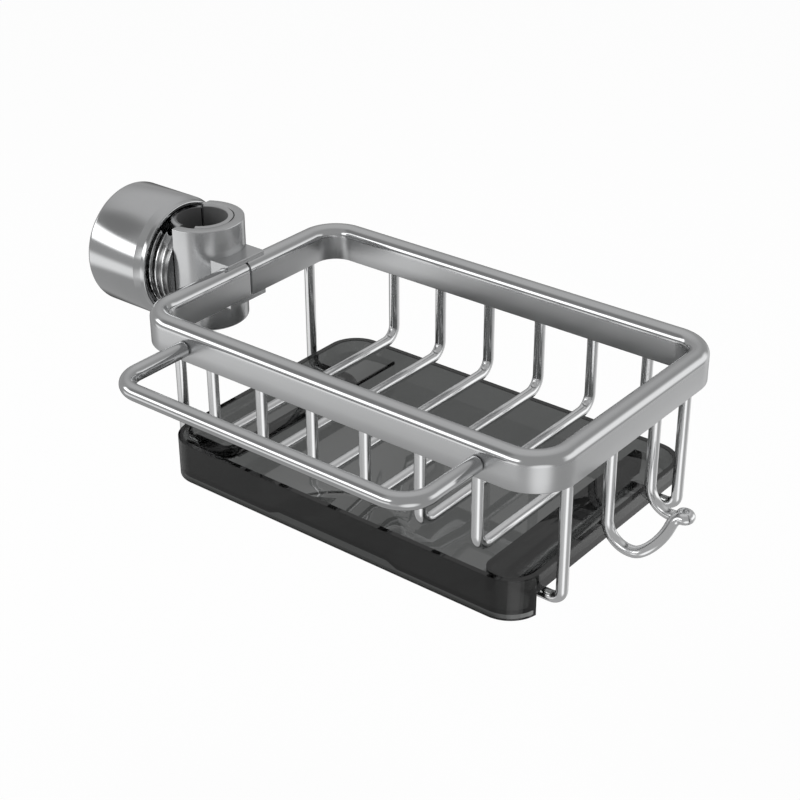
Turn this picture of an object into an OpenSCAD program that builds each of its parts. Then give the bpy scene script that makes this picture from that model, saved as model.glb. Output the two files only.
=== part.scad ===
// Kitchen sink caddy: a rectangular wire basket with a rounded flat rim, a towel bar, a cloth hook and a
// drip tray on hanging rails, carried by a sleeve clamp that closes round a tap's pipe with a threaded cap.
// Origin: on the axis of the pipe, at half the sleeve's height. +X runs to the basket, +Y to its rear, +Z up.

/* [Rim band] */
// Length of the rim along X, over the outer faces
rim_length = 220; // [180:1:300]
// Width of the rim along Y, over the outer faces
rim_width = 134.6; // [120:0.1:180]
// Height of the rim's bar
rim_height = 16.5; // [12:0.1:24]
// Thickness of the rim's bar
rim_thickness = 9.4; // [7:0.1:12]
// Radius of the rim's corners, outside
rim_corner_r = 20; // [16:0.5:30]
// Height of the rim's top above the middle of the sleeve
rim_rise = 9.5; // [4:0.5:16]
// Width of the butt seam's groove
seam_width = 0.8; // [0.4:0.1:1]
// Depth of the butt seam's groove
seam_depth = 1.2; // [0.5:0.1:2]

/* [Basket wires] */
// Diameter of the basket, hanger and hook wires
wire_d = 5; // [3:0.1:6]
// Distance from the rim's left end to the first cross wire
first_wire_inset = 43.9; // [30:0.1:50]
// Distance from the last cross wire to the rim's right end
last_wire_inset = 34.8; // [30:0.1:50]
// Depth of the basket from the rim's underside to the wires' middle
basket_drop = 35.8; // [25:0.1:60]
// Radius of the wires' bends at their middle
wire_bend_r = 7; // [5:0.5:10]

/* [Tray hangers] */
// Distance from the rim's front or rear to a hanger's legs
hanger_inset = 22.6; // [22:0.1:30]
// Distance from the rim's left or right end to a hanger's legs
hanger_end_inset = 5.6; // [3:0.1:6]
// Length of the hangers' feet, from leg to rail
foot_length = 26.4; // [20:0.1:34]
// Radius of a hanger's bends at their middle
hanger_bend_r = 5; // [4:0.5:8]

/* [Cloth hook] */
// Distance between the hook's two legs
hook_span = 33.2; // [24:0.1:60]
// Distance from the rim's right end to the hook's legs
hook_inset = 3.5; // [3:0.1:6]
// Straight length of the hook's legs under the rim
hook_leg = 32.1; // [20:0.1:45]
// Radius of the hook's bowl at the wire's middle
hook_bowl_r = 11.1; // [8:0.1:18]
// Angle at which the wire climbs out of the bowl
hook_climb = 80; // [60:1:90]
// Straight length of the climb
hook_run = 1.6; // [0.5:0.1:12]
// Radius of the bend from the climb to the level tip
hook_tip_bend_r = 3.2; // [3:0.1:8]
// Distance between the two wires at the tip
hook_tip_span = 5.5; // [5.5:0.1:20]

/* [Towel bar] */
// Diameter of the towel bar
bar_d = 7.25; // [6:0.05:9]
// Distance from the rim's left or right end to the bar's end
bar_inset = 32.4; // [26:0.2:50]
// Height of the bar's middle over the rim's underside
bar_rise = 6.65; // [5:0.05:8]
// Reach of the bar's middle in front of the rim
bar_reach = 40.7; // [30:0.1:80]
// Radius of the bar's bends at its middle
bar_bend_r = 13; // [8:0.5:24]

/* [Towel bar screws] */
// Diameter of the screws' shanks
screw_d = 4; // [2.5:0.1:4]
// Length that a screw reaches into the bar
screw_bite = 9; // [6:1:14]
// Diameter of the screws' round heads
screw_head_d = 7.6; // [6:0.1:9]
// Height of the screws' heads
screw_head_h = 2.2; // [1.5:0.1:3]
// Width over flats of the heads' hexagon sockets
screw_socket_w = 2.6; // [2:0.1:3]

/* [Clamp body] */
// Diameter of the pipe that the lined sleeve grips
pipe_d = 24; // [20:0.5:26]
// Thickness of the sleeve's rubber liner and of the pad's rubber face
liner_thickness = 3; // [2:0.1:4]
// Thickness of the sleeve's wall
sleeve_wall = 4.7; // [4:0.1:7]
// Height that the sleeve's ends stand over the thread's radius
sleeve_margin = 0.3; // [0:0.1:0.5]
// Radius that rounds the sleeve's lower edge
sleeve_edge_r = 1.5; // [1:0.1:3.5]
// Distance that the sleeve's rear arm reaches past the axis
rear_arm_reach = 10.6; // [4:0.2:10.8]
// Thickness of the jaws, from the channel to the thread's crest
jaw_thickness = 10; // [9:0.1:12]
// Depth of the thread
thread_depth = 1.1; // [0.8:0.1:1.6]
// Pitch of the thread
thread_pitch = 4; // [3:0.1:5]
// Length of the jaws from the sleeve's axis
jaw_length = 35; // [33:1:38]
// Angle of the liner's front end, clockwise from +X
liner_front_angle = 60; // [40:1:80]
// Gap between the liner's rear end and the shoe
liner_end_gap = 1.5; // [1:0.1:8]

/* [Band bracket] */
// Thickness of the bracket between the sleeve and the rim
bracket_web = 0.6; // [0.5:0.1:6]
// Width of the bracket
bracket_width = 24; // [16:1:28]
// Thickness of the bracket's plates over and under the rim
bracket_plate = 1.8; // [1.4:0.1:3]
// Thickness of the bracket's lower plate
bracket_lip = 3.5; // [2:0.1:5]
// Length that the upper plate reaches over the rim
bracket_reach = 7; // [4:0.1:7.4]

/* [Clamp cap] */
// Thickness of the cap's wall
cap_wall = 4.25; // [4:0.05:7]
// Space between the jaws' ends and the cap's closed end
cap_end_space = 10.6; // [8:0.1:14]
// Thickness of the cap's closed end
cap_end = 4; // [3:0.5:6]
// Length of the cap's drawn-in mouth end
cap_ring = 6; // [5:0.5:10]
// Length of the straight collar at the mouth
cap_collar = 2.6; // [1.5:0.1:4]
// How far the taper draws the collar in
cap_taper = 1.3; // [1:0.1:1.5]
// Bevel on the collar's outer edge
cap_bevel = 0.8; // [0.4:0.1:0.9]
// Depth of the plain lead-in inside the mouth
cap_lead = 3; // [2:0.5:5]
// Step from the thread out to the lead-in
cap_lead_step = 1.2; // [1:0.1:1.6]
// Radius that rounds the edge of the closed end
cap_edge_r = 2.5; // [1:0.1:4]

/* [Pressure pad] */
// Thickness of the rubber face on the shoe
pad_thickness = 1; // [0.8:0.1:1.2]
// Distance that the shoe's ends lie inside the sleeve's ends
shoe_inset = 0.6; // [0.5:0.1:4]
// Distance from the sleeve's axis back to the shoe's front edge
shoe_front_set = 1; // [0.5:0.1:3]
// Length of the guide block, from the sleeve's axis
block_length = 31; // [26:1:33]
// Width of the guide block behind the shoe
block_width = 17; // [12:1:18]
// Height of the guide block behind the shoe
block_height = 28; // [16:1:30]
// Diameter of the stem that turns in the cap
stem_d = 9; // [6:0.5:12]

/* [Drip tray] */
// Distance that the tray's front stands back from the rim's front
tray_front_set = 4.1; // [1:0.1:8]
// Distance that the tray's rear stands out behind the rim's rear
tray_rear_out = 2; // [0:0.1:4]
// Radius of the tray's corners, outside
tray_corner_r = 15; // [12:0.5:22]
// Thickness of the tray's walls and floors
tray_wall = 2.3; // [1.8:0.1:3]
// Height of the tray's side walls
tray_side_height = 8.7; // [7:0.1:14]
// Depth of the tray's deep middle below its ledges
basin_depth = 8.5; // [6:0.1:14]
// Height that the front fascia reaches below the basin's floor
fascia_skirt = 2; // [1:0.1:4]
// Radius that rounds the ledges' front ends
ledge_end_r = 5; // [3:0.5:8]
// Radius of the finger recess at its foot
recess_r = 35.5; // [24:0.5:45]
// Width of the finger recess's sloping edge
recess_slope = 5.5; // [3:0.5:8]
// Height of the finger recess over the floor
recess_height = 2.2; // [1.5:0.1:4]

/* [Clearances] */
// Gap between the tray's left end and the left hanger's legs
tray_left_gap = 2.8; // [2:0.1:8]
// Gap between the tray's right end and the right hanger's legs
tray_right_gap = 5.4; // [2:0.1:8]
// Gap between the basket's floor wires and the tray's top edge
tray_top_gap = 7.7; // [4:0.1:20]
// Gap between the tray's deep middle and the rails
basin_gap = 3.7; // [2:0.1:6]
// Gap between the tray's full-width front part and the hangers' feet
foot_gap = 3.2; // [1:0.1:4]
// Gap between the cap's open end and the sleeve's rear arm
cap_arm_gap = 1.4; // [1:0.1:4]
// Gap between the tray and what it slides on
slide_gap = 0.3; // [0.2:0.05:0.6]
// Radial gap of the stem in the cap
stem_gap = 0.05; // [0.02:0.01:0.08]
// Radial gap of the cap over the thread
thread_gap = 0.35; // [0.3:0.05:0.6]
// Gap between the pad's carrier and the jaws
guide_gap = 0.4; // [0.3:0.1:0.8]

/* [Hidden] */
$fn = 96;
// Overrun of every cut past the face that it goes through
over = 1;

liner_r = pipe_d / 2;
bore_r = liner_r + liner_thickness;
sleeve_r = bore_r + sleeve_wall;
thread_r = bore_r + jaw_thickness;
core_r = thread_r - thread_depth;
sleeve_height = 2 * (thread_r + sleeve_margin);

rim_near_x = sleeve_r + bracket_web;
rim_x = rim_near_x + rim_length / 2;
rim_z = rim_rise - rim_height;

wire_count = 6;
wire_pitch = (rim_length - first_wire_inset - last_wire_inset) / (wire_count - 1);
wire_end_y = rim_width / 2 - rim_thickness / 2;
deck_wire_z = rim_z - basket_drop;

hanger_x = rim_length / 2 - hanger_end_inset;
rail_x = hanger_x - foot_length;
leg_y = rim_width / 2 - hanger_inset;

bar_x = rim_length / 2 - bar_inset;
bar_z = rim_z + bar_rise;
bar_front_y = -rim_width / 2 - bar_reach;

tray_length = 2 * hanger_x - wire_d - tray_left_gap - tray_right_gap;
tray_off = (tray_left_gap - tray_right_gap) / 2;
tray_width = rim_width - tray_front_set + tray_rear_out;
tray_shift = (tray_front_set + tray_rear_out) / 2;
tray_high_z = deck_wire_z - wire_d / 2 - tray_top_gap;
ledge_low_z = tray_high_z - tray_side_height;
basin_low_z = ledge_low_z - basin_depth;
rail_z = ledge_low_z - slide_gap - wire_d / 2;
basin_length = 2 * (rail_x - wire_d / 2 - basin_gap);
front_part = tray_width / 2 - tray_shift - leg_y - wire_d / 2 - foot_gap;

cap_mouth_x = rear_arm_reach + cap_arm_gap;
cap_mouth_r = thread_r + thread_gap;
cap_r = cap_mouth_r + cap_wall;
cap_length = jaw_length + cap_end_space + cap_end - cap_mouth_x;
cap_inner_x = jaw_length + cap_end_space;

// Step cut back into the upper outer edge of the liner
liner_relief = 0.5;
// Angles at which the shoe ends: behind, just clear of the sleeve's rear arm, and in front, beside the jaw
shoe_from = 180 - asin((sqrt(bore_r * bore_r - rear_arm_reach * rear_arm_reach) - guide_gap) / bore_r);
shoe_to = 270 - asin(shoe_front_set / bore_r);
liner_rear_angle = shoe_from - asin(liner_end_gap / bore_r);
shoe_back_r = bore_r - guide_gap;
shoe_height = sleeve_height - 2 * shoe_inset;

// Plan outline of a rectangle with rounded corners, centred on the origin
module round_rect(length, width, radius) {
    square([length - 2 * radius, width], center = true);
    square([length, width - 2 * radius], center = true);
    for (sx = [-1, 1], sy = [-1, 1])
        translate([sx * (length / 2 - radius), sy * (width / 2 - radius)]) circle(radius);
}

// A unit vector along v
function unit(v) = v / norm(v);

// Length cut from each side of a bend of radius r between the directions a and b
function bend_cut(a, b, r) = r * tan(acos(max(-1, min(1, a * b))) / 2);

// One straight length of round wire from a to b
module straight_wire(a, b, d) {
    run = b - a;
    turn = atan2(run[1], run[0]);
    tilt = acos(run[2] / norm(run));
    translate(a) rotate([0, tilt, turn]) cylinder(h = norm(run), d = d);
}

// One bend at point p, coming along direction a and leaving along direction b
module wire_bend(p, a, b, r, d) {
    cut = bend_cut(a, b, r);
    start = p - cut * a;
    side = unit(b - (b * a) * a);
    up = cross(a, side);
    centre = start + r * side;
    // The arc runs from -side towards a, about the axis cross(a, side)
    m = [
        [-side[0], a[0], up[0], centre[0]],
        [-side[1], a[1], up[1], centre[1]],
        [-side[2], a[2], up[2], centre[2]],
        [0, 0, 0, 1]
    ];
    multmatrix(m) rotate_extrude(angle = acos(a * b)) translate([r, 0]) circle(d = d);
}

// A round wire of diameter d along the corners in points, bent with radius r at each inner corner
module bent_wire(points, r, d) {
    last = len(points) - 1;
    directions = [for (i = [0:last - 1]) unit(points[i + 1] - points[i])];
    cuts = [for (i = [0:last]) (i == 0 || i == last) ? 0 : bend_cut(directions[i - 1], directions[i], r)];
    for (i = [0:last - 1])
        straight_wire(points[i] + cuts[i] * directions[i], points[i + 1] - cuts[i + 1] * directions[i], d);
    for (i = [1:last - 1])
        wire_bend(points[i], directions[i - 1], directions[i], r, d);
}

// Cross-section of the rim's bar: flat faces, a half-round top and a flat underside, inner face at x = 0
module rim_profile() {
    square([rim_thickness, rim_height - rim_thickness / 2]);
    translate([rim_thickness / 2, rim_height - rim_thickness / 2]) circle(d = rim_thickness);
}

// The rim's four straight bars and four bent corners, with the butt seam and the two screws' holes
module rim_band() {
    inner_r = rim_corner_r - rim_thickness;
    straight_x = rim_length - 2 * rim_corner_r;
    straight_y = rim_width - 2 * rim_corner_r;
    color("silver") difference() {
        translate([rim_x, 0, rim_z]) {
            for (side = [0, 1]) rotate(180 * side) {
                translate([rim_length / 2 - rim_thickness, straight_y / 2, 0])
                    rotate([90, 0, 0]) linear_extrude(straight_y) rim_profile();
                rotate(90) translate([rim_width / 2 - rim_thickness, straight_x / 2, 0])
                    rotate([90, 0, 0]) linear_extrude(straight_x) rim_profile();
                for (sy = [0, 1]) translate([straight_x / 2, (sy * 2 - 1) * straight_y / 2, 0])
                    rotate(90 * sy - 90) rotate_extrude(angle = 90) translate([inner_r, 0]) rim_profile();
            }
        }
        seam();
        screw_holes();
    }
}

// Groove of the butt seam: open at the top and on the inner face of the left bar
module seam() {
    edge_x = rim_near_x + rim_thickness;
    translate([edge_x - seam_depth, -seam_width / 2, rim_z - over])
        cube([seam_depth + over, seam_width, rim_height + 2 * over]);
    translate([edge_x - rim_thickness / 2, 0, rim_z + rim_height - rim_thickness / 2])
        rotate([90, 0, 0]) linear_extrude(seam_width, center = true) intersection() {
            difference() {
                circle(d = rim_thickness + 2 * over);
                circle(d = rim_thickness - 2 * seam_depth);
            }
            square(rim_thickness);
        }
}

// One cross wire: down from the front bar, across the floor and up to the rear bar
module cross_wire(index) {
    x = rim_near_x + first_wire_inset + index * wire_pitch;
    color("gainsboro") bent_wire([
        [x, -wire_end_y, rim_z],
        [x, -wire_end_y, deck_wire_z],
        [x, wire_end_y, deck_wire_z],
        [x, wire_end_y, rim_z]
    ], wire_bend_r, wire_d);
}

// One hanger: down from the rim's end, inward, along under the tray, outward and up; side is -1 or 1
module tray_hanger(side) {
    leg = rim_x + side * hanger_x;
    rail = rim_x + side * rail_x;
    color("gainsboro") bent_wire([
        [leg, -leg_y, rim_z],
        [leg, -leg_y, rail_z],
        [rail, -leg_y, rail_z],
        [rail, leg_y, rail_z],
        [leg, leg_y, rail_z],
        [leg, leg_y, rim_z]
    ], hanger_bend_r, wire_d);
}

// The hook seen from the side, [out, up] after a length s of wire: a straight leg down, the bowl's arc, a
// straight climb, and a bend back to level
function arc_angle(length, r) = length / r * 180 / PI;
function arc_length(angle, r) = angle * r * PI / 180;
bowl_from = hook_leg;
climb_from = bowl_from + arc_length(90 + hook_climb, hook_bowl_r);
bend_from = climb_from + hook_run;
tip_from = bend_from + arc_length(hook_climb, hook_tip_bend_r);
function bowl_point(w) = [0, -hook_leg] + hook_bowl_r * [1 - cos(w), -sin(w)];
function climb_point(s) = bowl_point(90 + hook_climb) + s * [cos(hook_climb), sin(hook_climb)];
function bend_point(w) = climb_point(hook_run)
    + hook_tip_bend_r * [sin(hook_climb) - sin(hook_climb - w), cos(hook_climb - w) - cos(hook_climb)];
function hook_side(s) = s < bowl_from ? [0, -s]
    : s < climb_from ? bowl_point(arc_angle(s - bowl_from, hook_bowl_r))
    : s < bend_from ? climb_point(s - climb_from)
    : bend_point(arc_angle(min(s, tip_from) - bend_from, hook_tip_bend_r));

// The two legs draw in evenly from narrow_share of that length to its end, then the wire turns across in a
// half circle
narrow_share = 0.727;
function hook_drawn(s) = max(0, min(1, (s / tip_from - narrow_share) / (1 - narrow_share)));
function hook_half_span(s) = hook_span / 2
    - (hook_span - hook_tip_span) / 2 * hook_drawn(s) * hook_drawn(s) * (3 - 2 * hook_drawn(s));
function tip_turned(s) = arc_angle(max(0, s - tip_from), hook_tip_span / 2);
function hook_point(s) = [
    hook_side(s)[0] + hook_tip_span / 2 * sin(tip_turned(s)),
    hook_half_span(s) * cos(tip_turned(s)),
    hook_side(s)[1]
];
hook_steps = 40;
hook_sides = 12;
hook_bent = tip_from + arc_length(90, hook_tip_span / 2) - hook_leg;
hook_half = concat(
    [hook_point(0)],
    [for (i = [0:hook_steps]) hook_point(hook_leg + hook_bent * i / hook_steps)]
);
hook_route = concat(
    hook_half,
    [for (i = [hook_steps:-1:0]) [hook_half[i][0], -hook_half[i][1], hook_half[i][2]]]
);

// Rings of points round a route, each square to it, then the faces that join them
function route_way(route, i) = unit(route[min(i + 1, len(route) - 1)] - route[max(i - 1, 0)]);
function ring_across(way, previous) = unit(previous - (previous * way) * way);
function ring_frames(route, i = 0, previous = [1, 0, 0]) = i == len(route)
    ? []
    : let (across = ring_across(route_way(route, i), previous))
        concat([across], ring_frames(route, i + 1, across));
module round_tube(route, d, sides) {
    frames = ring_frames(route);
    points = [
        for (i = [0:len(route) - 1])
            let (across = frames[i], other = cross(route_way(route, i), frames[i]))
                for (k = [0:sides - 1])
                    route[i] + d / 2 * (across * cos(360 * k / sides) + other * sin(360 * k / sides))
    ];
    walls = [
        for (i = [0:len(route) - 2], k = [0:sides - 1])
            let (n = (k + 1) % sides)
                each [
                    [i * sides + k, (i + 1) * sides + k, i * sides + n],
                    [i * sides + n, (i + 1) * sides + k, (i + 1) * sides + n]
                ]
    ];
    base = (len(route) - 1) * sides;
    ends = concat([[for (k = [0:sides - 1]) k]], [[for (k = [sides - 1:-1:0]) base + k]]);
    polyhedron(points, concat(walls, ends));
}

// The hook's one wire, under the middle of the right bar
module cloth_hook() {
    color("gainsboro") translate([rim_x + rim_length / 2 - hook_inset, 0, rim_z])
        round_tube(hook_route, wire_d, hook_sides);
}

// The towel bar, with a blind hole in each end for its screw
module towel_bar() {
    ends_y = -rim_width / 2;
    left = rim_x - bar_x;
    right = rim_x + bar_x;
    color("silver") difference() {
        bent_wire([
            [left, ends_y, bar_z],
            [left, bar_front_y, bar_z],
            [right, bar_front_y, bar_z],
            [right, ends_y, bar_z]
        ], bar_bend_r, bar_d);
        for (x = [left, right]) translate([x, ends_y + over, bar_z])
            rotate([90, 0, 0]) cylinder(h = screw_bite + over, d = screw_d);
    }
}

// The two screws: head on the rim's inner face, shank through the rim's hole and into the bar
module towel_bar_screws() {
    color("dimgray") for (side = [-1, 1])
        translate([rim_x + side * bar_x, -rim_width / 2 + rim_thickness, bar_z]) rotate([-90, 0, 0])
            difference() {
                union() {
                    cylinder(h = screw_head_h, d = screw_head_d);
                    translate([0, 0, -rim_thickness - screw_bite])
                        cylinder(h = rim_thickness + screw_bite, d = screw_d);
                }
                translate([0, 0, screw_head_h / 3])
                    cylinder(h = screw_head_h, d = screw_socket_w / cos(30), $fn = 6);
            }
}

// Holes through the front bar for the two screws
module screw_holes() {
    for (side = [-1, 1]) translate([rim_x + side * bar_x, -rim_width / 2 - over, bar_z])
        rotate([-90, 0, 0]) cylinder(h = rim_thickness + 2 * over, d = screw_d);
}

// Block between the sleeve and the rim, with a plate over the rim and a lip under it
module band_bracket() {
    near_x = sleeve_r - sleeve_wall;
    far_x = rim_near_x + bracket_reach;
    low_z = rim_z - bracket_lip;
    high_z = rim_rise + bracket_plate;
    color("darkgray") difference() {
        translate([near_x, -bracket_width / 2, low_z]) cube([far_x - near_x, bracket_width, high_z - low_z]);
        cylinder(r = sleeve_r, h = 2 * sleeve_height, center = true);
        translate([rim_near_x + rim_thickness, 0, rim_z]) mirror([1, 0, 0]) rotate([90, 0, 0])
            linear_extrude(bracket_width + 2 * over, center = true) rim_profile();
    }
}

// Upright cylinder round the pipe's axis, its lower edge rounded
module sleeve_blank() {
    rotate_extrude() {
        translate([0, -sleeve_height / 2]) square([sleeve_r - sleeve_edge_r, sleeve_height]);
        translate([0, sleeve_edge_r - sleeve_height / 2]) square([sleeve_r, sleeve_height - sleeve_edge_r]);
        translate([sleeve_r - sleeve_edge_r, sleeve_edge_r - sleeve_height / 2]) circle(sleeve_edge_r);
    }
}

// One threaded jaw: a slice of a cylinder about X with a ridge at every pitch; side is -1 front or 1 rear.
// The two jaws' ridges lie half a pitch apart, as the two sides of one screw thread do.
module jaw(side) {
    start_share = side < 0 ? 0.6 : 0.1;
    ridge_share = 0.42;
    crest_share = 0.12;
    first = thread_pitch * (start_share + ridge_share / 2);
    intersection() {
        rotate([0, -90, 0]) {
            cylinder(r = core_r, h = jaw_length);
            for (at = [first:thread_pitch:jaw_length - thread_pitch / 2])
                translate([0, 0, at]) rotate_extrude() polygon([
                    [core_r - thread_depth, -thread_pitch * ridge_share / 2],
                    [core_r, -thread_pitch * ridge_share / 2],
                    [thread_r, -thread_pitch * crest_share / 2],
                    [thread_r, thread_pitch * crest_share / 2],
                    [core_r, thread_pitch * ridge_share / 2],
                    [core_r - thread_depth, thread_pitch * ridge_share / 2]
                ]);
        }
        translate([-jaw_length - over, side > 0 ? bore_r : -bore_r - thread_r, -thread_r - over])
            cube([jaw_length + over, thread_r, 2 * (thread_r + over)]);
    }
}

// The half sleeve with its longer rear arm, joined to the two jaws
module clamp_body() {
    color("silver") {
        difference() {
            sleeve_blank();
            cylinder(r = bore_r, h = 2 * sleeve_height, center = true);
            translate([-rear_arm_reach - 2 * sleeve_r, -sleeve_r - over, -sleeve_height])
                cube([2 * sleeve_r, 2 * (sleeve_r + over), 2 * sleeve_height]);
            translate([-2 * sleeve_r, -sleeve_r - over, -sleeve_height])
                cube([2 * sleeve_r, sleeve_r + over, 2 * sleeve_height]);
        }
        for (side = [-1, 1]) jaw(side);
    }
}

// A slice of a ring about Z, from one angle to another
module ring_slice(inner, outer, height, from, to) {
    rotate(from) rotate_extrude(angle = to - from)
        translate([inner, -height / 2]) square([outer - inner, height]);
}

// Rubber liner of the half sleeve, its upper outer edge cut back
module sleeve_liner() {
    color("dimgray") rotate(-liner_front_angle)
        rotate_extrude(angle = liner_front_angle + liner_rear_angle) polygon([
            [liner_r, -sleeve_height / 2],
            [bore_r, -sleeve_height / 2],
            [bore_r, sleeve_height / 2 - 2 * liner_relief],
            [bore_r - liner_relief, sleeve_height / 2 - 2 * liner_relief],
            [bore_r - liner_relief, sleeve_height / 2],
            [liner_r, sleeve_height / 2]
        ]);
}

// Curved shoe, the block that guides it between the jaws, and the stem that the cap pushes and pulls
module pad_carrier() {
    face_r = liner_r + pad_thickness;
    color("silver") {
        ring_slice(face_r, shoe_back_r, shoe_height, shoe_from, shoe_to);
        difference() {
            translate([-block_length, -block_width / 2, -block_height / 2])
                cube([block_length, block_width, block_height]);
            cylinder(r = face_r, h = shoe_height, center = true);
        }
        translate([over - block_length, 0, 0]) rotate([0, -90, 0])
            cylinder(d = stem_d, h = cap_inner_x - block_length + over - slide_gap);
    }
}

// Rubber face on the shoe
module grip_pad() {
    color("black") ring_slice(liner_r, liner_r + pad_thickness, shoe_height, shoe_from, shoe_to);
}

// Closed hand nut: a cup about X that tapers to a collar at its mouth, with a socket for the carrier's stem
module clamp_cap() {
    ring_z = cap_length - cap_ring;
    lead_r = cap_mouth_r + cap_lead_step;
    collar_r = cap_r - cap_taper;
    color("silver") translate([-cap_mouth_x - cap_length, 0, 0]) rotate([0, 90, 0]) {
        rotate_extrude() difference() {
            union() {
                square([cap_r - cap_edge_r, cap_edge_r]);
                translate([cap_r - cap_edge_r, cap_edge_r]) circle(cap_edge_r);
                translate([0, cap_edge_r]) square([cap_r, ring_z - cap_edge_r]);
                translate([0, ring_z]) polygon([
                    [0, 0],
                    [cap_r, 0],
                    [collar_r, cap_ring - cap_collar],
                    [collar_r, cap_ring - cap_bevel],
                    [collar_r - cap_bevel, cap_ring],
                    [0, cap_ring]
                ]);
            }
            translate([0, cap_end]) square([cap_mouth_r, cap_length]);
            translate([0, cap_length - cap_lead]) square([lead_r, cap_length]);
        }
        translate([0, 0, cap_end - over]) difference() {
            cylinder(d = 2 * stem_d, h = cap_inner_x - block_length + over - slide_gap);
            translate([0, 0, over]) cylinder(r = stem_d / 2 + stem_gap, h = cap_length);
        }
    }
}

// Plan of the tray's outer wall, drawn in by inset
module tray_plan(inset) {
    round_rect(tray_length - 2 * inset, tray_width - 2 * inset, tray_corner_r - inset);
}

// Plan of the two ledges beside the deep middle, grown by grow at their inner sides and front ends. They lie
// evenly about the rim's middle, which is tray_off away from the tray's.
module ledge_plan(grow) {
    for (side = [-1, 1])
        translate([
            side * (basin_length / 2 - grow + tray_length / 2) - tray_off,
            front_part - grow + tray_width / 2
        ]) round_rect(tray_length, 2 * tray_width, ledge_end_r + grow);
}

// Plan of the deep middle with the full-width front part
module basin_plan(inset) {
    difference() {
        tray_plan(inset);
        ledge_plan(inset);
    }
}

// Half-moon finger recess against the front fascia, standing on z = 0
module finger_recess() {
    front_y = -tray_width / 2 + tray_wall;
    intersection() {
        translate([0, front_y, 0]) cylinder(r1 = recess_r, r2 = recess_r - recess_slope, h = recess_height);
        translate([-recess_r, front_y, -over]) cube([2 * recess_r, recess_r, recess_height + 2 * over]);
    }
}

// The drip tray: side walls on two ledges, a deep middle, a skirt under the front part and the finger recess
module drip_tray() {
    color("dimgray") translate([rim_x + tray_off, tray_shift, 0]) difference() {
        union() {
            translate([0, 0, ledge_low_z]) linear_extrude(tray_side_height) tray_plan(0);
            translate([0, 0, basin_low_z]) linear_extrude(basin_depth + tray_wall) basin_plan(0);
            skirt();
        }
        translate([0, 0, ledge_low_z + tray_wall]) linear_extrude(tray_side_height) tray_plan(tray_wall);
        difference() {
            translate([0, 0, basin_low_z + tray_wall])
                linear_extrude(basin_depth + over) basin_plan(tray_wall);
            translate([0, 0, basin_low_z + tray_wall]) finger_recess();
        }
        translate([0, 0, basin_low_z]) finger_recess();
    }
}

// Skirt under the front part: the fascia and its two returns, run on below the floor
module skirt() {
    translate([0, 0, basin_low_z - fascia_skirt]) linear_extrude(fascia_skirt + tray_wall) intersection() {
        difference() {
            basin_plan(0);
            tray_plan(tray_wall);
        }
        translate([-tray_length / 2, -tray_width / 2]) square([tray_length, front_part]);
    }
}

rim_band();
cross_wire(0);  // cross_wire_1
cross_wire(1);  // cross_wire_2
cross_wire(2);  // cross_wire_3
cross_wire(3);  // cross_wire_4
cross_wire(4);  // cross_wire_5
cross_wire(5);  // cross_wire_6
tray_hanger(-1);  // tray_hanger_left
tray_hanger(1);  // tray_hanger_right
cloth_hook();
towel_bar();
towel_bar_screws();
band_bracket();
clamp_body();
sleeve_liner();
pad_carrier();
grip_pad();
clamp_cap();
drip_tray();
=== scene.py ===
"""Looks of the kitchen sink caddy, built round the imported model.

Sizes are in millimetres until a mesh is made.
"""

import math

import bmesh
import bpy
import numpy as np
from mathutils import Matrix, Vector


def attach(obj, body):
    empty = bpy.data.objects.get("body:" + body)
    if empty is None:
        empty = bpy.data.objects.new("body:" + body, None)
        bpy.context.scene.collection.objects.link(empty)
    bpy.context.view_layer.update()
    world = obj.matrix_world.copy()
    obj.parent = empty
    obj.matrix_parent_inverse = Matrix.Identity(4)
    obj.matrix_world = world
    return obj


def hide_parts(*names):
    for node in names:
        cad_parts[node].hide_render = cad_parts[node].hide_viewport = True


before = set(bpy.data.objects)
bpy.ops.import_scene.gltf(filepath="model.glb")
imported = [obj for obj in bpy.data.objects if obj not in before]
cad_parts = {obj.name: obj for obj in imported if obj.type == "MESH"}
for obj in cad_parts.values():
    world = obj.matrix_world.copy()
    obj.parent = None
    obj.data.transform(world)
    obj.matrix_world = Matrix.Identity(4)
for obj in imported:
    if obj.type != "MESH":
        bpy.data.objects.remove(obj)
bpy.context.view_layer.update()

MM = 0.001

# Rim bar
RIM_LENGTH = 220.0
RIM_WIDTH = 134.6
RIM_HEIGHT = 16.5
RIM_THICKNESS = 9.4
RIM_CORNER_R = 20.0
RIM_TOP_Z = 9.5
RIM_NEAR_X = 20.3
RIM_X = RIM_NEAR_X + RIM_LENGTH / 2
RIM_Z = RIM_TOP_Z - RIM_HEIGHT
RIM_EDGE_R = 0.5
SEAM_WIDTH = 0.8
SEAM_DEPTH = 1.2
SEAM_LIP = 0.25
SEAM_LIP_DEPTH = 0.1
SEAM_FADE = 0.6
RIM_CORNER_STEPS = 36

# Basket wires
WIRE_D = 5.0
WIRE_SIDES = 40
WIRE_BEND_STEPS = 16
FIRST_WIRE_INSET = 43.9
LAST_WIRE_INSET = 34.8
WIRE_COUNT = 6
WIRE_BEND_R = 7.0
WIRE_END_Y = RIM_WIDTH / 2 - RIM_THICKNESS / 2
DECK_WIRE_DROP = 35.8
DECK_WIRE_Z = RIM_Z - DECK_WIRE_DROP
WIRE_SINK = 1.5

# Inner faces of the tray's front wall and right end, its highest and lowest edges, and its finger recess
TRAY_FRONT_Y = -60.9
TRAY_END_X = 224.5
TRAY_DROP = 7.7
TRAY_TOP_Z = DECK_WIRE_Z - WIRE_D / 2 - TRAY_DROP
TRAY_LEDGE_DEPTH = 8.7
TRAY_FOOT_Z = -72.2
TRAY_GAP = 0.3
TRAY_OFF_X = -1.3
RECESS_X = RIM_X + TRAY_OFF_X
RECESS_Y = -62.0
RECESS_R = 30.0

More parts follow.
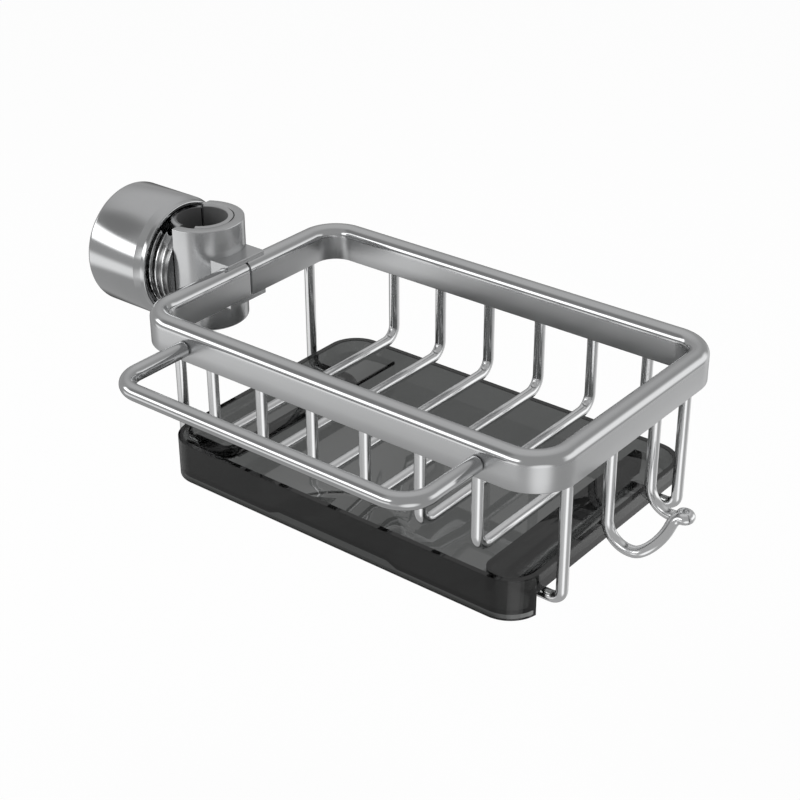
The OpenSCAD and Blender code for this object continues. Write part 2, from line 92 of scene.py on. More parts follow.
# Tray hangers
HANGER_INSET = 5.6
HANGER_X = RIM_LENGTH / 2 - HANGER_INSET
RAIL_INSET = 26.4
RAIL_X = HANGER_X - RAIL_INSET
LEG_INSET = 22.6
LEG_Y = RIM_WIDTH / 2 - LEG_INSET
HANGER_BEND_R = 5.0
HANGER_BEND_STEPS = 14
RAIL_Z = TRAY_TOP_Z - TRAY_LEDGE_DEPTH - TRAY_GAP - WIRE_D / 2

# Cloth hook
HOOK_INSET = 3.5
HOOK_X = RIM_LENGTH / 2 - HOOK_INSET
HOOK_SPAN = 33.2
HOOK_LEG = 32.1
HOOK_BOWL_R = 11.1
HOOK_CLIMB = 80.0
HOOK_RUN = 1.6
HOOK_TIP_BEND_R = 3.2
HOOK_TIP_SPAN = 4.0
HOOK_NARROW_SHARE = 0.727
HOOK_LEG_STEPS = 7
HOOK_BOWL_STEPS = 60
HOOK_BEND_STEPS = 18
HOOK_TIP_STEPS = 12

# Towel bar
BAR_D = 7.25
BAR_SIDES = 48
BAR_INSET = 32.4
BAR_X = RIM_LENGTH / 2 - BAR_INSET
BAR_REACH = 40.7
BAR_BEND_R = 13.0
BAR_BEND_STEPS = 28
BAR_RISE = 6.65
BAR_Z = RIM_Z + BAR_RISE
BAR_JOINT = 0.45
BAR_NECK_SET = 0.9
BAR_EASE = 0.35
BAR_EASE_LAST = 0.06

# Clamp
LINER_R = 12.0
BORE_R = 15.0
SLEEVE_R = 19.7
SLEEVE_HEIGHT = 50.6
SLEEVE_EDGE_R = 1.5
SLEEVE_BORE_EDGE = 0.6
SLEEVE_STEPS = 72
REAR_ARM_REACH = 10.6
THREAD_R = 25.0
THREAD_DEPTH = 1.1
THREAD_PITCH = 4.0
JAW_START_X = -0.4
JAW_LENGTH = 35.0
JAW_LEAD = 1.4
JAW_STEPS = 319
JAW_ARC_STEPS = 60
JAW_CHORD_STEPS = 6
LINER_FRONT = -60.0
LINER_REAR = 131.4
LINER_RELIEF = 0.5
LINER_EASE = 0.3
LINER_STEPS = 120
SLIT_FROM = 8.0
SLIT_TO = 82.0
SLIT_FADE = 8.0

# Pressure pad
PAD_FACE_R = 13.0
SHOE_BACK_R = 14.6
SHOE_HEIGHT = 49.4
SHOE_FRONT_SET = 1.0
SHOE_EASE = 0.4
SHOE_STEPS = 48
GUIDE_GAP = 0.4
BLOCK_LENGTH = 31.0
BLOCK_WIDTH = 17.0
BLOCK_HEIGHT = 28.0
BLOCK_EDGE_R = 1.5
STEM_D = 9.0
STEM_END = 45.3
STEM_SINK = 1.0
STEM_EASE = 0.6
STEM_SIDES = 64

# Cap
CAP_MOUTH_X = -12.0
CAP_END_X = -49.6
CAP_INNER_X = -45.6
CAP_R = 29.6
CAP_MOUTH_R = 25.35
CAP_LEAD_R = 26.55
CAP_LEAD = 3.0
CAP_RING = 6.0
CAP_COLLAR = 2.6
CAP_TAPER = 1.3
CAP_BEVEL = 0.8
CAP_EASE = 0.25
CAP_EDGE_R = 2.5
CAP_END_RING_R = 12.0
CAP_BOSS_R = 9.0
CAP_SOCKET_R = 4.55
CAP_BOSS_X = -31.3
CAP_SIDES = 160

# Smallest corner radius at the end of a rounded box
LEAST_CORNER_R = 0.02

# Mesh settings, with distances in metres and angles in degrees
JOIN_DISTANCE = 2e-7
CAD_JOIN_DISTANCE = 2e-6
FLAT_ANGLE = 0.5
BEVEL_ANGLE = 35.0


def unit(v):
    """Each vector over its own length."""
    return v / np.linalg.norm(v, axis=-1, keepdims=True)


def arc(centre, radius, start, end, steps):
    """Points of a plane arc: centre + radius (cos a, sin a), with a going evenly from start to end."""
    a = np.radians(np.linspace(start, end, steps + 1))
    return np.stack([centre[0] + radius * np.cos(a), centre[1] + radius * np.sin(a)], axis=-1)


def bent_path(corners, bend_r, steps):
    """Straight runs between corners, joined at each inner corner by an arc of bend_r.

    Where the directions a and b meet at p with the angle t, the arc starts at p - a r tan(t/2) and is
    start + r (a sin w + side (1 - cos w)), w from 0 to t, with side the part of b square to a.
    """
    corners = np.asarray(corners, float)
    ways = unit(np.diff(corners, axis=0))
    parts = [corners[:1]]
    for p, a, b in zip(corners[1:-1], ways[:-1], ways[1:]):
        turn = math.acos(float(np.clip(a @ b, -1.0, 1.0)))
        side = unit(b - (b @ a) * a)
        w = np.linspace(0.0, turn, steps + 1)[:, None]
        start = p - a * bend_r * math.tan(turn / 2)
        parts.append(start + bend_r * (a * np.sin(w) + side * (1.0 - np.cos(w))))
    parts.append(corners[-1:])
    return np.concatenate(parts)


def along(path):
    """Length of the path from its start to each point."""
    return np.concatenate([[0.0], np.cumsum(np.linalg.norm(np.diff(path, axis=0), axis=1))])


def grid(points, lengths, closed=False):
    """Faces and UVs of a grid of points: rows along the shape, joined to a ring if closed, columns round it.

    A corner's UV is the row's length along the shape and the length round the middle row, both in metres. An
    open shape's two ends are closed by one face each, whose UVs are x and y from the end's middle.
    """
    rows, columns = points.shape[:2]
    i, j = np.meshgrid(np.arange(rows if closed else rows - 1), np.arange(columns), indexing="ij")
    i, j = i.ravel(), j.ravel()
    row = np.stack([i, i, i + 1, i + 1], axis=-1)
    column = np.stack([j, j + 1, j + 1, j], axis=-1)
    faces = ((row % rows) * columns + column % columns).tolist()
    last_step = np.linalg.norm(points[0].mean(axis=0) - points[-1].mean(axis=0))
    lengths = np.append(lengths, lengths[-1] + last_step)
    middle = points[rows // 2]
    girth = along(np.concatenate([middle, middle[:1]]))
    uv = (np.stack([lengths[row], girth[column]], axis=-1) * MM).reshape(-1, 2).tolist()
    if not closed:
        ring = np.arange(columns)
        for order, end in ((ring[::-1], 0), (ring, rows - 1)):
            faces.append((order + end * columns).tolist())
            spread = points[end] - points[end].mean(axis=0)
            uv += (spread[order, :2] * MM).tolist()
    return points.reshape(-1, 3), faces, uv


def rings(path, radii, across, up, sides):
    """Circles carried along a path: point (i, j) = path i + radius i (cos a across i + sin a up i)."""
    ring = arc((0.0, 0.0), 1.0, 0.0, 360.0, sides)[:-1]
    spokes = ring[None, :, :1] * across[:, None] + ring[None, :, 1:] * up[:, None]
    return path[:, None] + radii[:, None, None] * spokes


def wire(path, reference):
    """A round wire along the path, as circles square to the sum of the unit steps beside each point.

    The first axis of each circle is the reference less its part along the path, the second is square to both.
    """
    steps = unit(np.diff(path, axis=0))
    way = unit(np.concatenate([steps[:1], steps[:-1] + steps[1:], steps[-1:]]))
    across = unit(reference - (way @ reference)[:, None] * way)
    up = np.cross(way, across)
    radii = np.full(len(path), WIRE_D / 2)
    return grid(rings(path, radii, across, up, WIRE_SIDES), along(path))


def turned(profile, sides):
    """A shape turned about the X axis: profile (x, r) becomes (x, r cos a, r sin a), with a going round."""
    a = np.linspace(0.0, 2 * np.pi, sides + 1)[:-1]
    x, r = profile[None, :, 0], profile[None, :, 1]
    y = r * np.cos(a)[:, None]
    z = r * np.sin(a)[:, None]
    points = np.stack([np.broadcast_to(x, y.shape), y, z], axis=-1)
    return grid(points, a * profile[:, 1].max(), closed=True)


def part_ring(profile, start, end, steps):
    """Part of a ring about Z: profile (r, z) becomes (r cos a, r sin a, z), with a going from start to end.

    The start and the end are in degrees, each one number, or one number for each point of the profile.
    """
    r, z = profile[:, 0], profile[:, 1]
    start, end = np.broadcast_to(start, r.shape), np.broadcast_to(end, r.shape)
    share = np.linspace(0.0, 1.0, steps + 1)
    a = np.radians(start + share[:, None] * (end - start))
    points = np.stack([r * np.cos(a), r * np.sin(a), np.broadcast_to(z, a.shape)], axis=-1)
    return grid(points, np.pi * share * r.max())


def rounded_box(low, high, edge_r, steps=4):
    """A box with rounded edges: a rounded rectangle carried along X.

    With a from 90 degrees to 0 the rectangle lies edge_r (1 - sin a) inside the box's end, and its corners
    are arcs of the radius edge_r cos a round centres that stay in place.
    """
    low, high = np.asarray(low, float), np.asarray(high, float)
    a = np.radians(np.linspace(0.0, 90.0, steps + 1))
    inside = edge_r * (1.0 - np.sin(a))
    x = np.concatenate([low[0] + inside[::-1], high[0] - inside])
    corner_r = np.maximum(edge_r * np.cos(a), LEAST_CORNER_R)
    corner_r = np.concatenate([corner_r[::-1], corner_r])
    corner = np.concatenate([arc((0.0, 0.0), 1.0, start, start + 90.0, steps) for start in (0, 90, 180, 270)])
    signs = np.repeat([(1, 1), (-1, 1), (-1, -1), (1, -1)], steps + 1, axis=0)
    centres = signs * ((high - low)[1:] / 2 - edge_r) + (high + low)[1:] / 2
    section = centres[None] + corner[None] * corner_r[:, None, None]
    points = np.concatenate([np.broadcast_to(x[:, None, None], (len(x), len(centres), 1)), section], axis=-1)
    return grid(points, along(points.mean(axis=1)))


def piece(name, body, nodes, material, shells, sharp=40.0):
    """One Blender object at the origin from the shells, riding on a body in place of the named CAD nodes."""
    points, faces, uvs, base = [], [], [], 0
    for shell_points, shell_faces, shell_uv in shells:
        points.append(shell_points)
        faces += [[k + base for k in face] for face in shell_faces]
        uvs += shell_uv
        base += len(shell_points)
    mesh = bpy.data.meshes.new(name)
    mesh.from_pydata((np.concatenate(points) * MM).tolist(), [], faces)
    layer = mesh.uv_layers.new(name="UVMap")
    layer.data.foreach_set("uv", np.asarray(uvs, float).ravel())
    work = bmesh.new()
    work.from_mesh(mesh)
    bmesh.ops.remove_doubles(work, verts=work.verts, dist=JOIN_DISTANCE)
    bmesh.ops.recalc_face_normals(work, faces=work.faces)
    work.to_mesh(mesh)
    work.free()
    return dress(name, mesh, body, nodes, material, sharp)


def copied(name, node, body, material, bevel):
    """A piece from a CAD node's own mesh: triangles joined, flat faces made whole, edges eased."""
    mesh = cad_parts[node].data.copy()
    work = bmesh.new()
    work.from_mesh(mesh)
    bmesh.ops.remove_doubles(work, verts=work.verts, dist=CAD_JOIN_DISTANCE)
    bmesh.ops.dissolve_limit(
        work,
        angle_limit=math.radians(FLAT_ANGLE),
        use_dissolve_boundaries=False,
        verts=work.verts,
        edges=work.edges,
    )
    work.to_mesh(mesh)
    work.free()
    obj = dress(name, mesh, body, [node], material, BEVEL_ANGLE)
    edges = obj.modifiers.new("edges", "BEVEL")
    edges.width = bevel * MM
    edges.segments = 3
    edges.limit_method = "ANGLE"
    edges.angle_limit = math.radians(BEVEL_ANGLE)
    edges.harden_normals = True
    return obj


def dress(name, mesh, body, nodes, material, sharp):
    """One object of the mesh: smooth up to the sharp angle, with its material, on its body."""
    mesh.shade_smooth()
    mesh.set_sharp_from_angle(angle=math.radians(sharp))
    mesh.materials.clear()
    mesh.materials.append(material)
    obj = bpy.data.objects.new(name, mesh)
    bpy.context.scene.collection.objects.link(obj)
    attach(obj, body)
    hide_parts(*nodes)
    return obj


def add(tree, kind, **settings):
    """A node of the kind, with its settings set."""
    made = tree.nodes.new(kind)
    for key, value in settings.items():
        setattr(made, key, value)
    return made


def feed(tree, socket, source):
    """Links the source to the socket, or sets the socket's own value if the source is a plain value."""
    if isinstance(source, bpy.types.NodeSocket):
        tree.links.new(source, socket)
    else:
        socket.default_value = source


def math_node(tree, operation, a, b):
    """The result of a math operation on two values."""
    made = add(tree, "ShaderNodeMath", operation=operation)
    feed(tree, made.inputs[0], a)
    feed(tree, made.inputs[1], b)
    return made.outputs[0]


def vector_node(tree, operation, a, b=None):
    """The result of a vector operation: a value for a length or a dot product, else a vector."""
    made = add(tree, "ShaderNodeVectorMath", operation=operation)
    feed(tree, made.inputs[0], a)
    if b is not None:
        feed(tree, made.inputs[1], b)
    return made.outputs["Value" if operation in ("LENGTH", "DOT_PRODUCT") else "Vector"]


def distance(tree, vector, centre, counted):
    """Distance of the vector from the centre, along the axes that counted marks with a one."""
    offset = vector_node(tree, "SUBTRACT", vector, centre)
    return vector_node(tree, "LENGTH", vector_node(tree, "MULTIPLY", offset, counted))


def axis_parts(tree, vector):
    """The vector's parts as outputs named X, Y and Z."""
    made = add(tree, "ShaderNodeSeparateXYZ")
    feed(tree, made.inputs[0], vector)
    return made.outputs


def remap(tree, value, low, high, to_low, to_high, smooth=False):
    """The value moved from the span low to high onto to_low to to_high, held at its ends."""
    made = add(tree, "ShaderNodeMapRange", interpolation_type="SMOOTHSTEP" if smooth else "LINEAR")
    for socket, source in zip(made.inputs, (value, low, high, to_low, to_high)):
        feed(tree, socket, source)
    return made.outputs[0]


# Places of the Mix node's sockets A and B and of its result
MIX_SOCKETS = {"FLOAT": (2, 3, 0), "RGBA": (6, 7, 2)}


def mix(tree, factor, a, b, kind="RGBA"):
    """A colour, or for the kind FLOAT a value, that goes from a to b as the factor goes from 0 to 1."""
    made = add(tree, "ShaderNodeMix", data_type=kind)
    a_place, b_place, result_place = MIX_SOCKETS[kind]
    feed(tree, made.inputs[0], factor)
    feed(tree, made.inputs[a_place], a)
    feed(tree, made.inputs[b_place], b)
    return made.outputs[result_place]


def noise(tree, vector, scale, detail, roughness=0.5):
    """Noise in three dimensions on the vector."""
    made = add(tree, "ShaderNodeTexNoise", noise_dimensions="3D")
    feed(tree, made.inputs["Vector"], vector)
    feed(tree, made.inputs["Scale"], scale)
    feed(tree, made.inputs["Detail"], detail)
    feed(tree, made.inputs["Roughness"], roughness)
    return made.outputs["Fac"]


def relief(tree, shader, height, distance_mm, strength):
    """Puts the height's fine relief on the shader's normal."""
    made = add(tree, "ShaderNodeBump")
    made.inputs["Distance"].default_value = distance_mm * MM
    made.inputs["Strength"].default_value = strength
    feed(tree, made.inputs["Height"], height)
    feed(tree, shader.inputs["Normal"], made.outputs["Normal"])


def shader_group(name, inputs, outputs):
    """An empty node group with named inputs (kind, default) and outputs, and its two end nodes."""
    group = bpy.data.node_groups.new(name, "ShaderNodeTree")
    for label, (kind, default) in inputs.items():
        socket = group.interface.new_socket(label, in_out="INPUT", socket_type=kind)
        if default is not None:
            socket.default_value = default
    for label, kind in outputs.items():
        group.interface.new_socket(label, in_out="OUTPUT", socket_type=kind)
    return group, group.nodes.new("NodeGroupInput"), group.nodes.new("NodeGroupOutput")


def use_group(tree, group, **inputs):
    """The outputs of a node that uses the group, fed by name, with an underscore for each space in a name."""
    made = add(tree, "ShaderNodeGroup", node_tree=group)
    for label, source in inputs.items():
        feed(tree, made.inputs[label.replace("_", " ")], source)
    return made.outputs


def grained_lines():
    """Fine lines of a brushed or drawn surface: noise on a vector stretched one way, and broad clouds."""
    group, start, end = shader_group(
        "grained lines",
        {
            "Vector": ("NodeSocketVector", None),
            "Stretch": ("NodeSocketVector", (1.0, 1.0, 1.0)),
            "Cloud Scale": ("NodeSocketFloat", 40.0),
        },
        {"Lines": "NodeSocketFloat", "Clouds": "NodeSocketFloat"},
    )
    stretched = vector_node(group, "MULTIPLY", start.outputs["Vector"], start.outputs["Stretch"])
    lines = noise(group, stretched, 1.0, 4.0, 0.7)
    clouds = noise(group, start.outputs["Vector"], start.outputs["Cloud Scale"], 3.0)
    feed(group, end.inputs["Lines"], lines)
    feed(group, end.inputs["Clouds"], clouds)
    return group


def fine_specks():
    """Dust and tiny pits: dots where a fine noise passes the threshold, full a fade's width above it."""
    fade = 0.06
    group, start, end = shader_group(
        "fine specks",
        {
            "Vector": ("NodeSocketVector", None),
            "Scale": ("NodeSocketFloat", 900.0),
            "Threshold": ("NodeSocketFloat", 0.7),
        },
        {"Mask": "NodeSocketFloat"},
    )
    dots = noise(group, start.outputs["Vector"], start.outputs["Scale"], 2.0)
    past = math_node(group, "ADD", start.outputs["Threshold"], fade)
    feed(group, end.inputs["Mask"], remap(group, dots, start.outputs["Threshold"], past, 0.0, 1.0))
    return group


LINES = grained_lines()
SPECKS = fine_specks()


def new_material(name):
    """A material with one Principled shader, and the node that gives its coordinates."""
    made = bpy.data.materials.new(name)
    made.use_nodes = True
    tree = made.node_tree
    return made, tree, tree.nodes["Principled BSDF"], add(tree, "ShaderNodeTexCoord")


def cool_grey(value, shade=1.0):
    """A grey a little richer in blue, times the shade."""
    return (shade * value, shade * (value + 0.005), shade * (value + 0.01), 1.0)


# Values between which most of a noise lies, and most of the metals' mixed tone
NOISE_SPAN = (0.3, 0.7)
TONE_SPAN = (0.25, 0.75)

# What all metals share: the clouds' scale, the lines' share in the tone, the specks and the relief's strength
METAL_CLOUD_SCALE = 55.0
METAL_LINE_SHARE = 0.6
SPECK_SCALE = 1400.0
SPECK_THRESHOLD = 0.72
SPECK_SHARE = 0.25
SPECK_SHADE = 0.72
METAL_RELIEF = 0.35


def metal(name, dark, light, rough, spread, stretch, coordinates, depth, region=None):
    """Bare metal: two close greys and a roughness that vary along fine lines, with sparse specks.

    A region (axis, low, high, roughness, shade) has its own roughness, and for a shade below one its colour
    is the dark grey times the shade, a painted shade. It is whole below the place low on the axis, and gone
    above the place high. The axis R is the distance from the X axis.
    """
    made, tree, shader, coords = new_material(name)
    place = coords.outputs["Object"]
    inside, region_rough, shade = 0.0, rough, 1.0
    if region:
        axis, low, high, region_rough, shade = region
        if axis == "R":
            where = distance(tree, place, (0.0, 0.0, 0.0), (0.0, 1.0, 1.0))
        else:
            where = axis_parts(tree, place)[axis]
        inside = remap(tree, where, low * MM, high * MM, 1.0, 0.0)
    vector = coords.outputs[coordinates]
    lines = use_group(tree, LINES, Vector=vector, Stretch=stretch, Cloud_Scale=METAL_CLOUD_SCALE)
    specks = use_group(tree, SPECKS, Vector=place, Scale=SPECK_SCALE, Threshold=SPECK_THRESHOLD)
    line_tone = math_node(tree, "MULTIPLY", lines["Lines"], METAL_LINE_SHARE)
    cloud_tone = math_node(tree, "MULTIPLY", lines["Clouds"], 1.0 - METAL_LINE_SHARE)
    tone = math_node(tree, "ADD", line_tone, cloud_tone)
    colour = mix(tree, remap(tree, tone, *NOISE_SPAN, 0.0, 1.0), cool_grey(dark), cool_grey(light))
    speck = math_node(tree, "MULTIPLY", specks["Mask"], SPECK_SHARE)
    colour = mix(tree, speck, colour, cool_grey(dark, SPECK_SHADE))
    # Painted shade: the region's colour goes to the dark grey times the shade
    if shade < 1.0:
        colour = mix(tree, inside, colour, cool_grey(dark, shade))
    feed(tree, shader.inputs["Base Color"], colour)
    base_rough = remap(tree, inside, 0.0, 1.0, rough, region_rough)
    varied = remap(tree, tone, *TONE_SPAN, -spread, spread)
    feed(tree, shader.inputs["Roughness"], math_node(tree, "ADD", base_rough, varied))
    shader.inputs["Metallic"].default_value = 1.0
    relief(tree, shader, lines["Lines"], depth, METAL_RELIEF)
    return made


def rubber(name):
    """Moulded rubber: near black, matt, with a fine grain, and a painted highlight that makes the upper end
    paler.
    """
    dark, light, painted_top_light = (0.09, 0.091, 0.092, 1.0), (0.12, 0.121, 0.122, 1.0), (0.25, 0.252, 0.255, 1.0)
    made, tree, shader, coords = new_material(name)
    place = coords.outputs["Object"]
    lines = use_group(tree, LINES, Vector=place, Stretch=(700.0, 700.0, 700.0), Cloud_Scale=90.0)
    colour = mix(tree, lines["Clouds"], dark, light)
    # Painted highlight: the upper end's paler colour, full at the top and gone a fade below it
    top_z, fade = SLEEVE_HEIGHT / 2, 0.4
    top = remap(tree, axis_parts(tree, place)["Z"], (top_z - fade) * MM, top_z * MM, 0.0, 1.0)
    feed(tree, shader.inputs["Base Color"], mix(tree, top, colour, painted_top_light))
    feed(tree, shader.inputs["Roughness"], remap(tree, lines["Clouds"], *NOISE_SPAN, 0.52, 0.66))
    relief(tree, shader, lines["Lines"], 0.06, 0.4)
    return made


def smoky_plastic(name):
    """Smoky clear plastic, polished, with a dark tint at the surface and in its depth.

    Painted shade darkens the finger recess, the front wall and the thin edges; painted light pales the right
    end.
    """
    dark, light = (0.235, 0.239, 0.239, 1.0), (0.265, 0.269, 0.269, 1.0)
    # Painted light for the right end; painted shade for the finger recess, the front wall and the thin edges
    end_painted_light, recess_painted_shade = (0.62, 0.625, 0.62, 1.0), (0.14, 0.143, 0.142, 1.0)
    front_painted_shade, edge_painted_shade = (0.115, 0.118, 0.117, 1.0), (0.03, 0.031, 0.03, 1.0)
    wall_fade, recess_fade = 1.0, 0.3
    brim_from, brim_full = TRAY_TOP_Z - 0.7, TRAY_TOP_Z - 0.5
    foot_full, foot_to = TRAY_FOOT_Z + 0.9, TRAY_FOOT_Z + 1.2
    made, tree, shader, coords = new_material(name)
    place = coords.outputs["Object"]
    lines = use_group(tree, LINES, Vector=place, Stretch=(18.0, 60.0, 60.0), Cloud_Scale=25.0)
    part = axis_parts(tree, place)
    # Mask of the front wall's painted shade
    front = remap(tree, part["Y"], TRAY_FRONT_Y * MM, (TRAY_FRONT_Y + wall_fade) * MM, 1.0, 0.0)
    # Mask of the right end's painted light
    end = remap(tree, part["X"], (TRAY_END_X - wall_fade) * MM, TRAY_END_X * MM, 0.0, 1.0)
    # Mask of the finger recess's painted shade
    reach = distance(tree, place, (RECESS_X * MM, RECESS_Y * MM, 0.0), (1.0, 1.0, 0.0))
    recess = remap(tree, reach, (RECESS_R - recess_fade) * MM, RECESS_R * MM, 1.0, 0.0)
    # Masks of the near black painted shade along the top edge and along the front wall's foot
    brim = remap(tree, part["Z"], brim_from * MM, brim_full * MM, 0.0, 1.0)
    foot = remap(tree, part["Z"], foot_full * MM, foot_to * MM, 1.0, 0.0)
    edge = math_node(tree, "MAXIMUM", brim, math_node(tree, "MULTIPLY", foot, front))
    colour = mix(tree, lines["Clouds"], dark, light)
    # Paints the light and shade over the plastic's own colour
    for mask, painted_tone in ((end, end_painted_light), (recess, recess_painted_shade), (front, front_painted_shade), (edge, edge_painted_shade)):
        colour = mix(tree, mask, colour, painted_tone)
    feed(tree, shader.inputs["Base Color"], colour)
    feed(tree, shader.inputs["Roughness"], remap(tree, lines["Clouds"], *NOISE_SPAN, 0.02, 0.04))
    shader.inputs["Transmission Weight"].default_value = 1.0
    shader.inputs["IOR"].default_value = 1.49
    depth = add(tree, "ShaderNodeVolumeAbsorption")
    depth.inputs["Color"].default_value = (0.50, 0.505, 0.50, 1.0)
    depth.inputs["Density"].default_value = 700.0
    feed(tree, tree.nodes["Material Output"].inputs["Volume"], depth.outputs[0])
    return made


# Stretch of the fine lines, for UV or Object coordinates
BRUSHED = (60.0, 9000.0, 1.0)
DRAWN = (40.0, 6000.0, 1.0)
LATHED = (9000.0, 60.0, 1.0)
GRAINED = (400.0, 400.0, 400.0)

# Regions: the rim's upright faces below its rounded top, and the root of the jaws' thread, which gets painted
# shade
RIM_FACES = ("Z", 4.2, 5.2, 0.3, 1.0)
THREAD_ROOT_SHADE = ("R", 24.55, 24.85, 0.22, 0.28)

# Name, dark and light grey, roughness and its spread, stretch of the lines, coordinates, depth of the relief
SATIN =metal("satin metal", 0.51, 0.56, 0.12, 0.02, BRUSHED, "UV", 0.004)
RIM_SATIN = metal("satin rim", 0.51, 0.56, 0.12, 0.02, BRUSHED, "UV", 0.001, RIM_FACES)
WIRE = metal("polished wire", 0.68, 0.76, 0.17, 0.02, DRAWN, "UV", 0.002)
CAST = metal("cast metal", 0.50, 0.54, 0.24, 0.01, GRAINED, "Object", 0.0015)
# The jaws' cast metal is painted paler on the thread's crests as a painted highlight, and darker in its roots
# as painted shade
JAW = metal("threaded jaws", 0.80, 0.84, 0.14, 0.01, GRAINED, "Object", 0.0015, THREAD_ROOT_SHADE)
TURNED = metal("turned metal", 0.50, 0.55, 0.12, 0.02, LATHED, "UV", 0.004)
RUBBER = rubber("moulded rubber")
SMOKY = smoky_plastic("smoky clear plastic")


def rim_section():
    """The rim bar's section, from x = 0 inside and z = 0 below: flat faces, half-round top, eased foot."""
    t, e = RIM_THICKNESS, RIM_EDGE_R
    shoulder = RIM_HEIGHT - t / 2
    return np.concatenate([
        arc((t - e, e), e, -90.0, 0.0, 4),
        [[t, shoulder / 2]],
        arc((t / 2, shoulder), t / 2, 0.0, 180.0, 36),
        [[0.0, shoulder / 2]],
        arc((e, e), e, 180.0, 270.0, 4),
    ])


def rim():
    """The bar carried once round a rounded rectangle, from the seam in the middle of the left side.

    The section's x runs outward from the bar's inner face. At the seam its top and inner points are drawn in
    by the seam's depth, which leaves a groove. Points above the shoulder move towards the round top's middle.
    """
    half_x = RIM_LENGTH / 2 - RIM_THICKNESS
    half_y = RIM_WIDTH / 2 - RIM_THICKNESS
    r = RIM_CORNER_R - RIM_THICKNESS
    corners, normals = [], []
    for sx, sy, start in ((-1, -1, 180.0), (1, -1, 270.0), (1, 1, 0.0), (-1, 1, 90.0)):
        centre = (sx * (half_x - r), sy * (half_y - r))
        corners.append(arc(centre, r, start, start + 90.0, RIM_CORNER_STEPS))
        normals.append(arc((0.0, 0.0), 1.0, start, start + 90.0, RIM_CORNER_STEPS))
    offsets = SEAM_WIDTH / 2 + SEAM_LIP * np.array([0.0, 1.0, 3.0])
    offsets = np.concatenate([[0.0], offsets])
    seam_in = np.stack([np.full(4, -half_x), -offsets], axis=-1)
    seam_out = np.stack([np.full(3, -half_x), offsets[:0:-1]], axis=-1)
    plan = np.concatenate([seam_in, *corners, seam_out])
    left = np.array([[-1.0, 0.0]])
    outward = np.concatenate([np.repeat(left, 4, axis=0), *normals, np.repeat(left, 3, axis=0)])
    path = np.concatenate([plan + [RIM_X, 0.0], np.full((len(plan), 1), RIM_Z)], axis=-1)
    across = np.concatenate([outward, np.zeros((len(plan), 1))], axis=-1)
    up = np.broadcast_to([0.0, 0.0, 1.0], path.shape)
    depth = np.zeros(len(path))
    depth[[-1, 0, 1]] = SEAM_DEPTH
    depth[[-2, 2]] = SEAM_LIP_DEPTH
    section = rim_section()
    top_centre = np.array([RIM_THICKNESS / 2, RIM_HEIGHT - RIM_THICKNESS / 2])
    share = np.clip((top_centre[0] + SEAM_FADE - section[:, :1]) / SEAM_FADE, 0.0, 1.0)
    inward = np.where(section[:, 1:] > top_centre[1], unit(top_centre - section), [[1.0, 0.0]])
    moved = section[None] + depth[:, None, None] * (inward * share)[None]
    points = path[:, None] + moved[..., :1] * across[:, None] + moved[..., 1:] * up[:, None]
    return grid(points, along(path), closed=True)


def cross_wire(index):
    """One wire of the basket: down from the rim, across under the basket and up again."""
    pitch = (RIM_LENGTH - FIRST_WIRE_INSET - LAST_WIRE_INSET) / (WIRE_COUNT - 1)
    x = RIM_NEAR_X + FIRST_WIRE_INSET + index * pitch
    top = RIM_Z + WIRE_SINK
    path = bent_path([
        [x, -WIRE_END_Y, top],
        [x, -WIRE_END_Y, DECK_WIRE_Z],
        [x, WIRE_END_Y, DECK_WIRE_Z],
        [x, WIRE_END_Y, top],
    ], WIRE_BEND_R, WIRE_BEND_STEPS)
    return wire(path, np.array([1.0, 0.0, 0.0]))


def hanger(side):
    """A tray hanger, side -1 left or 1 right: down, inward, along under the tray's ledge, outward and up."""
    leg = RIM_X + side * HANGER_X
    rail = RIM_X + side * RAIL_X
    top = RIM_Z + WIRE_SINK
    path = bent_path([
        [leg, -LEG_Y, top],
        [leg, -LEG_Y, RAIL_Z],
        [rail, -LEG_Y, RAIL_Z],
        [rail, LEG_Y, RAIL_Z],
        [leg, LEG_Y, RAIL_Z],
        [leg, LEG_Y, top],
    ], HANGER_BEND_R, HANGER_BEND_STEPS)
    return wire(path, unit(np.array([side * 1.0, 1.0, 1.1])))


